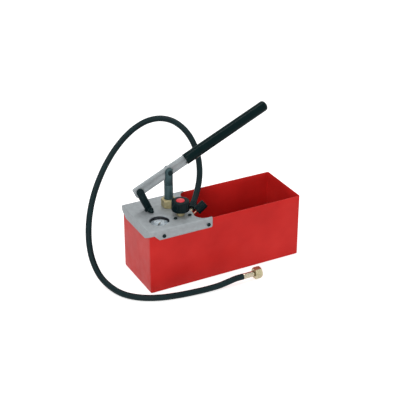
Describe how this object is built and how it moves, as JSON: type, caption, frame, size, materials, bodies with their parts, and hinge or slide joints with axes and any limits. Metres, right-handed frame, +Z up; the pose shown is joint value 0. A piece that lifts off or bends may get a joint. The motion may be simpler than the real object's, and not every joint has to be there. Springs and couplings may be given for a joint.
{
  "type": "hydrostatic test pump",
  "caption": "Hand-operated hydrostatic test pump: open red water tank, lever-worked plunger on a hooked cover plate, shut-off and release valves, pressure gauge and test hose.",
  "frame": {"origin": "centre of the tank's underside, on the surface it stands on", "axes": "+X along the tank from the pump to the open end, +Z up, -Y towards the side with the gauge and the knobs"},
  "size_m": [0.4769, 0.3475, 0.3623],
  "materials": {
    "red_enamel": "gloss red enamel on folded steel sheet",
    "zinc_sheet": "zinc-plated steel sheet, semi-matt",
    "zinc_bar": "zinc-plated steel",
    "ground_steel": "ground and oiled steel",
    "dark_steel": "blackened steel",
    "brass": "machined brass",
    "copper": "drawn copper tube",
    "black_plastic": "moulded black plastic",
    "black_case": "black painted steel case",
    "red_plastic": "moulded red plastic",
    "black_rubber": "smooth black rubber cover",
    "white_enamel": "white painted dial",
    "clear_glass": "clear window glass",
    "seal_fibre": "fibre and rubber seal",
    "spring_steel": "bright stainless steel"
  },
  "bodies": {
    "base": {"tank": "red_enamel", "cover_plate": "zinc_sheet", "flange_screw_front_left": "dark_steel", "flange_screw_front_right": "dark_steel", "flange_screw_back_left": "dark_steel", "flange_screw_back_right": "dark_steel", "flange_nut_front_left": "zinc_bar", "flange_nut_front_right": "zinc_bar", "flange_nut_back_left": "zinc_bar", "flange_nut_back_right": "zinc_bar", "pump_cylinder": "brass", "gland_packing": "seal_fibre", "gland_nut": "brass", "link_bracket": "dark_steel", "bracket_nut": "zinc_bar", "link_lower_pin": "ground_steel", "link_pin_nut": "dark_steel", "valve_block": "brass", "block_screw_left": "dark_steel", "block_screw_right": "dark_steel", "shutoff_bonnet": "brass", "release_bonnet": "brass", "gauge_case": "black_case", "gauge_bezel": "black_case", "gauge_window": "clear_glass", "gauge_dial": "white_enamel", "gauge_movement": "brass", "gauge_stem": "brass", "foot_valve_body": "brass", "suction_spring": "spring_steel", "delivery_spring": "spring_steel", "delivery_union": "brass", "transfer_pipe": "copper", "suction_strainer": "brass", "outlet_elbow": "brass", "hose_ferrule_pump": "dark_steel", "hose": "black_rubber", "hose_ferrule_end": "brass", "hose_tail": "brass", "sealing_washer": "seal_fibre"},
    "link": {"link_strap_front": "dark_steel", "link_strap_back": "dark_steel", "link_upper_pin": "dark_steel", "link_pin_clip": "dark_steel"},
    "lever": {"lever_bar": "zinc_bar", "lever_grip": "black_plastic"},
    "plunger": {"plunger": "ground_steel", "plunger_fork": "ground_steel", "fork_roll_pin": "dark_steel", "rod_pin": "dark_steel", "rod_pin_clip": "dark_steel"},
    "shutoff": {"shutoff_spindle": "ground_steel", "shutoff_knob": "black_plastic", "shutoff_cap": "red_plastic"},
    "release": {"release_spindle": "brass", "release_knob": "black_plastic"},
    "pointer": {"gauge_pointer": "dark_steel"},
    "swivel": {"swivel_nut": "brass"},
    "suction_valve": {"suction_ball": "spring_steel"},
    "delivery_valve": {"delivery_ball": "spring_steel"}
  },
  "joints": [
    {"name": "link_swing", "type": "hinge", "parent": "base", "child": "link", "pos_m": [-0.1505, 0.02, 0.1625], "axis": [0, 1, 0], "range_deg": [-10.5, 1.5]},
    {"name": "lever_swing", "type": "hinge", "parent": "link", "child": "lever", "pos_m": [-0.17149, 0.02, 0.20857], "axis": [0, 1, 0], "range_deg": [-5.3, 41.3]},
    {"name": "plunger_slide", "type": "slide", "parent": "base", "child": "plunger", "axis": [0, 0, 1], "range_m": [-0.0463, 0.0061]},
    {"name": "shutoff_turn", "type": "hinge", "parent": "base", "child": "shutoff", "pos_m": [-0.096, -0.0305, 0.1553], "axis": [0, 0, 1], "range_deg": [0, 540]},
    {"name": "release_turn", "type": "hinge", "parent": "base", "child": "release", "pos_m": [-0.069, -0.0305, 0.1451], "axis": [0.809, 0, 0.5878], "range_deg": [0, 540]},
    {"name": "gauge_pointer_turn", "type": "hinge", "parent": "base", "child": "pointer", "pos_m": [-0.1489, -0.0329, 0.1453], "axis": [0, 0, -1], "range_deg": [0, 270], "stiffness_Nm_per_rad": 0.0002},
    {"name": "swivel_spin", "type": "hinge", "parent": "base", "child": "swivel", "pos_m": [0.0496, -0.124, 0.0158], "axis": [1, 0, 0], "continuous": true},
    {"name": "suction_lift", "type": "slide", "parent": "base", "child": "suction_valve", "axis": [0, 0, 1], "range_m": [0, 0.002], "stiffness_N_per_m": 50, "springref_m": -0.002, "deforming": ["suction_spring"]},
    {"name": "delivery_lift", "type": "slide", "parent": "base", "child": "delivery_valve", "axis": [0, 0, 1], "range_m": [0, 0.002], "stiffness_N_per_m": 50, "springref_m": -0.002, "deforming": ["delivery_spring"]}
  ],
  "couplings": [
    {"joint": "link_swing", "follows": "lever_swing", "ratio": -0.2505},
    {"joint": "plunger_slide", "follows": "lever_swing", "m_per_rad": -0.0639}
  ]
}
